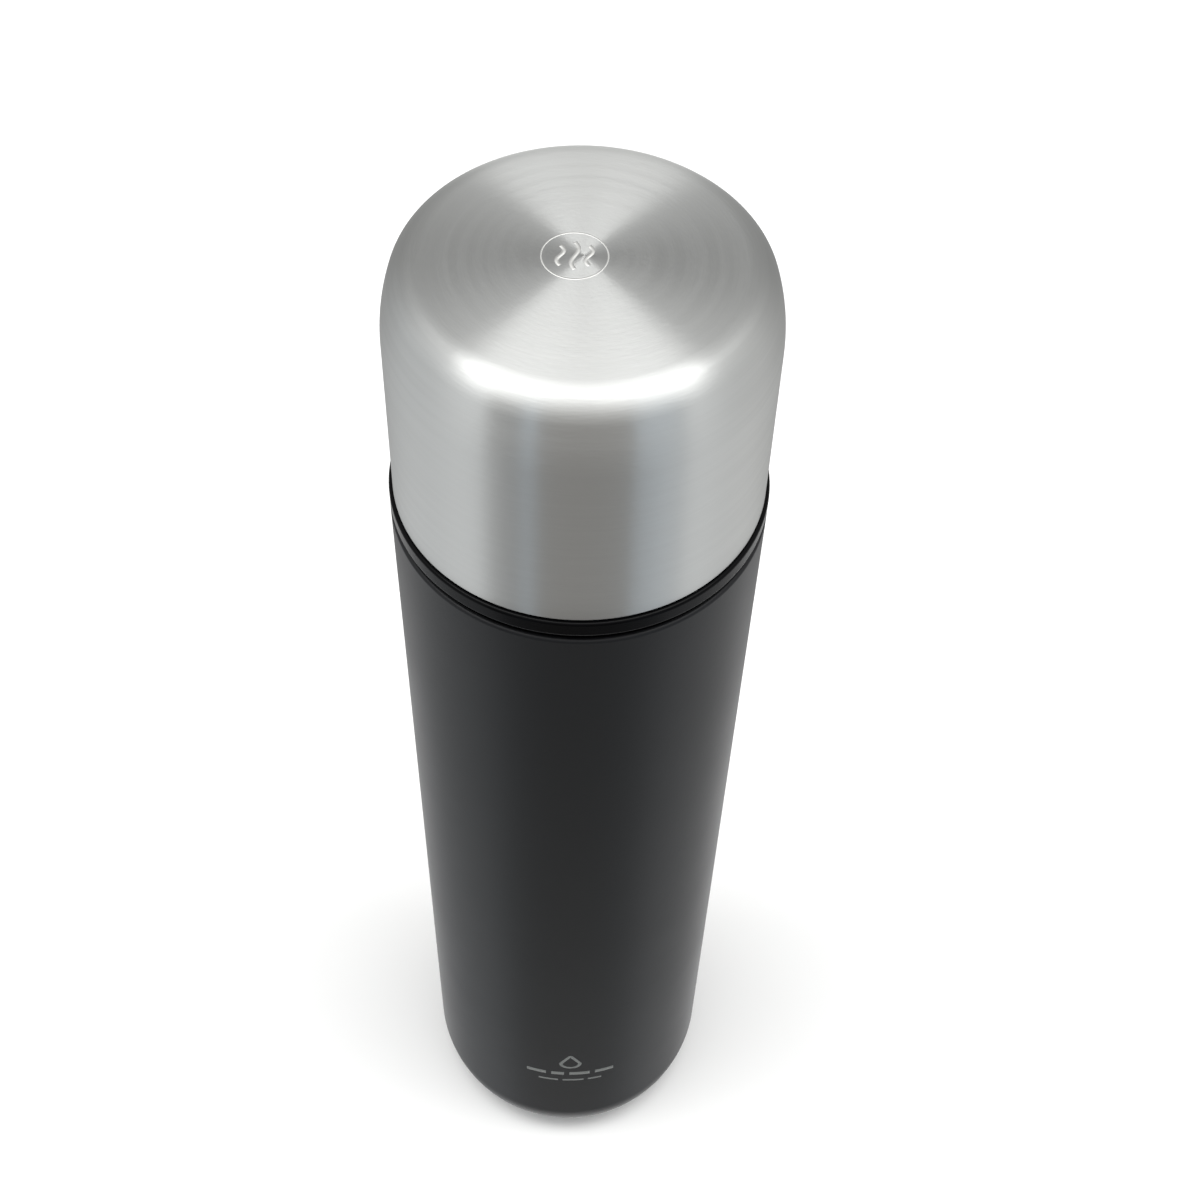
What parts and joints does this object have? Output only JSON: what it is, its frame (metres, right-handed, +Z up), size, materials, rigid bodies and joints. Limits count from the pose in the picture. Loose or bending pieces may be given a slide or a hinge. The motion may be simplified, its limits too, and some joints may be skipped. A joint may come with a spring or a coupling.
{
  "type": "vacuum flask",
  "caption": "Tall bullet-shaped vacuum flask: painted steel body, black collar, push-button pouring stopper and a brushed steel drinking cup that screws over it.",
  "frame": {"origin": "centre of the foot ring, on the surface the flask stands on", "axes": "+Z up the flask's axis; the release tabs are on -X and +X; the pour windows face -Y and +Y"},
  "size_m": [0.072, 0.072, 0.2963],
  "materials": {
    "painted_steel": "satin charcoal powder coat",
    "brushed_steel": "brushed round the axis, spun top",
    "liner_steel": "plain electropolished sheet",
    "black_plastic": "semi-gloss moulded polypropylene",
    "stopper_plastic": "fine spark-eroded moulded polypropylene",
    "control_plastic": "satin grey moulded polypropylene",
    "silicone": "food-grade silicone",
    "copper": "bright copper foil",
    "spring_steel": "drawn stainless wire",
    "solder": "grey glass solder bead",
    "getter_metal": "sintered pellet"
  },
  "bodies": {
    "flask": {"outer_shell": "painted_steel", "outer_base": "liner_steel", "base_cover": "brushed_steel", "vacuum_seal": "solder", "getter": "getter_metal", "inner_bottle": "liner_steel", "inner_base": "liner_steel", "copper_foil": "copper", "collar": "black_plastic"},
    "neck_seal": {"neck_gasket": "silicone"},
    "stopper": {"stopper_plug": "stopper_plastic", "stopper_housing": "stopper_plastic", "stopper_cover": "stopper_plastic", "stem_seal": "silicone"},
    "valve": {"press_button": "control_plastic", "valve_stem": "liner_steel", "valve_spring": "spring_steel", "valve_disc": "stopper_plastic", "valve_gasket": "silicone"},
    "tab_left": {"release_tab_left": "control_plastic"},
    "tab_right": {"release_tab_right": "control_plastic"},
    "cup_gasket": {"cup_seal": "silicone"},
    "cup": {"cup_thread_ring": "black_plastic", "cup_liner": "liner_steel", "cup_shell": "brushed_steel"}
  },
  "joints": [
    {"name": "stopper_rise", "type": "slide", "parent": "flask", "child": "neck_seal", "axis": [0, 0, 1], "range_m": [0, 0.036]},
    {"name": "stopper_turn", "type": "hinge", "parent": "neck_seal", "child": "stopper", "pos_m": [0, 0, 0.25], "axis": [0, 0, 1], "range_deg": [0, 1086]},
    {"name": "button_press", "type": "slide", "parent": "stopper", "child": "valve", "axis": [0, 0, -1], "range_m": [0, 0.0035], "stiffness_N_per_m": 800, "springref_m": -0.004, "deforming": ["valve_spring"]},
    {"name": "tab_left_press", "type": "slide", "parent": "stopper", "child": "tab_left", "axis": [1, 0, 0], "range_m": [0, 0.0015], "stiffness_N_per_m": 600, "springref_m": -0.0015},
    {"name": "tab_right_press", "type": "slide", "parent": "stopper", "child": "tab_right", "axis": [-1, 0, 0], "range_m": [0, 0.0015], "stiffness_N_per_m": 600, "springref_m": -0.0015},
    {"name": "cup_rise", "type": "slide", "parent": "stopper", "child": "cup_gasket", "axis": [0, 0, 1], "range_m": [0, 0.048]},
    {"name": "cup_turn", "type": "hinge", "parent": "cup_gasket", "child": "cup", "pos_m": [0, 0, 0.25], "axis": [0, 0, 1], "range_deg": [0, 1447]}
  ],
  "couplings": [
    {"joint": "stopper_turn", "follows": "stopper_rise", "rad_per_m": 523.6},
    {"joint": "cup_turn", "follows": "cup_rise", "rad_per_m": 523.6}
  ]
}
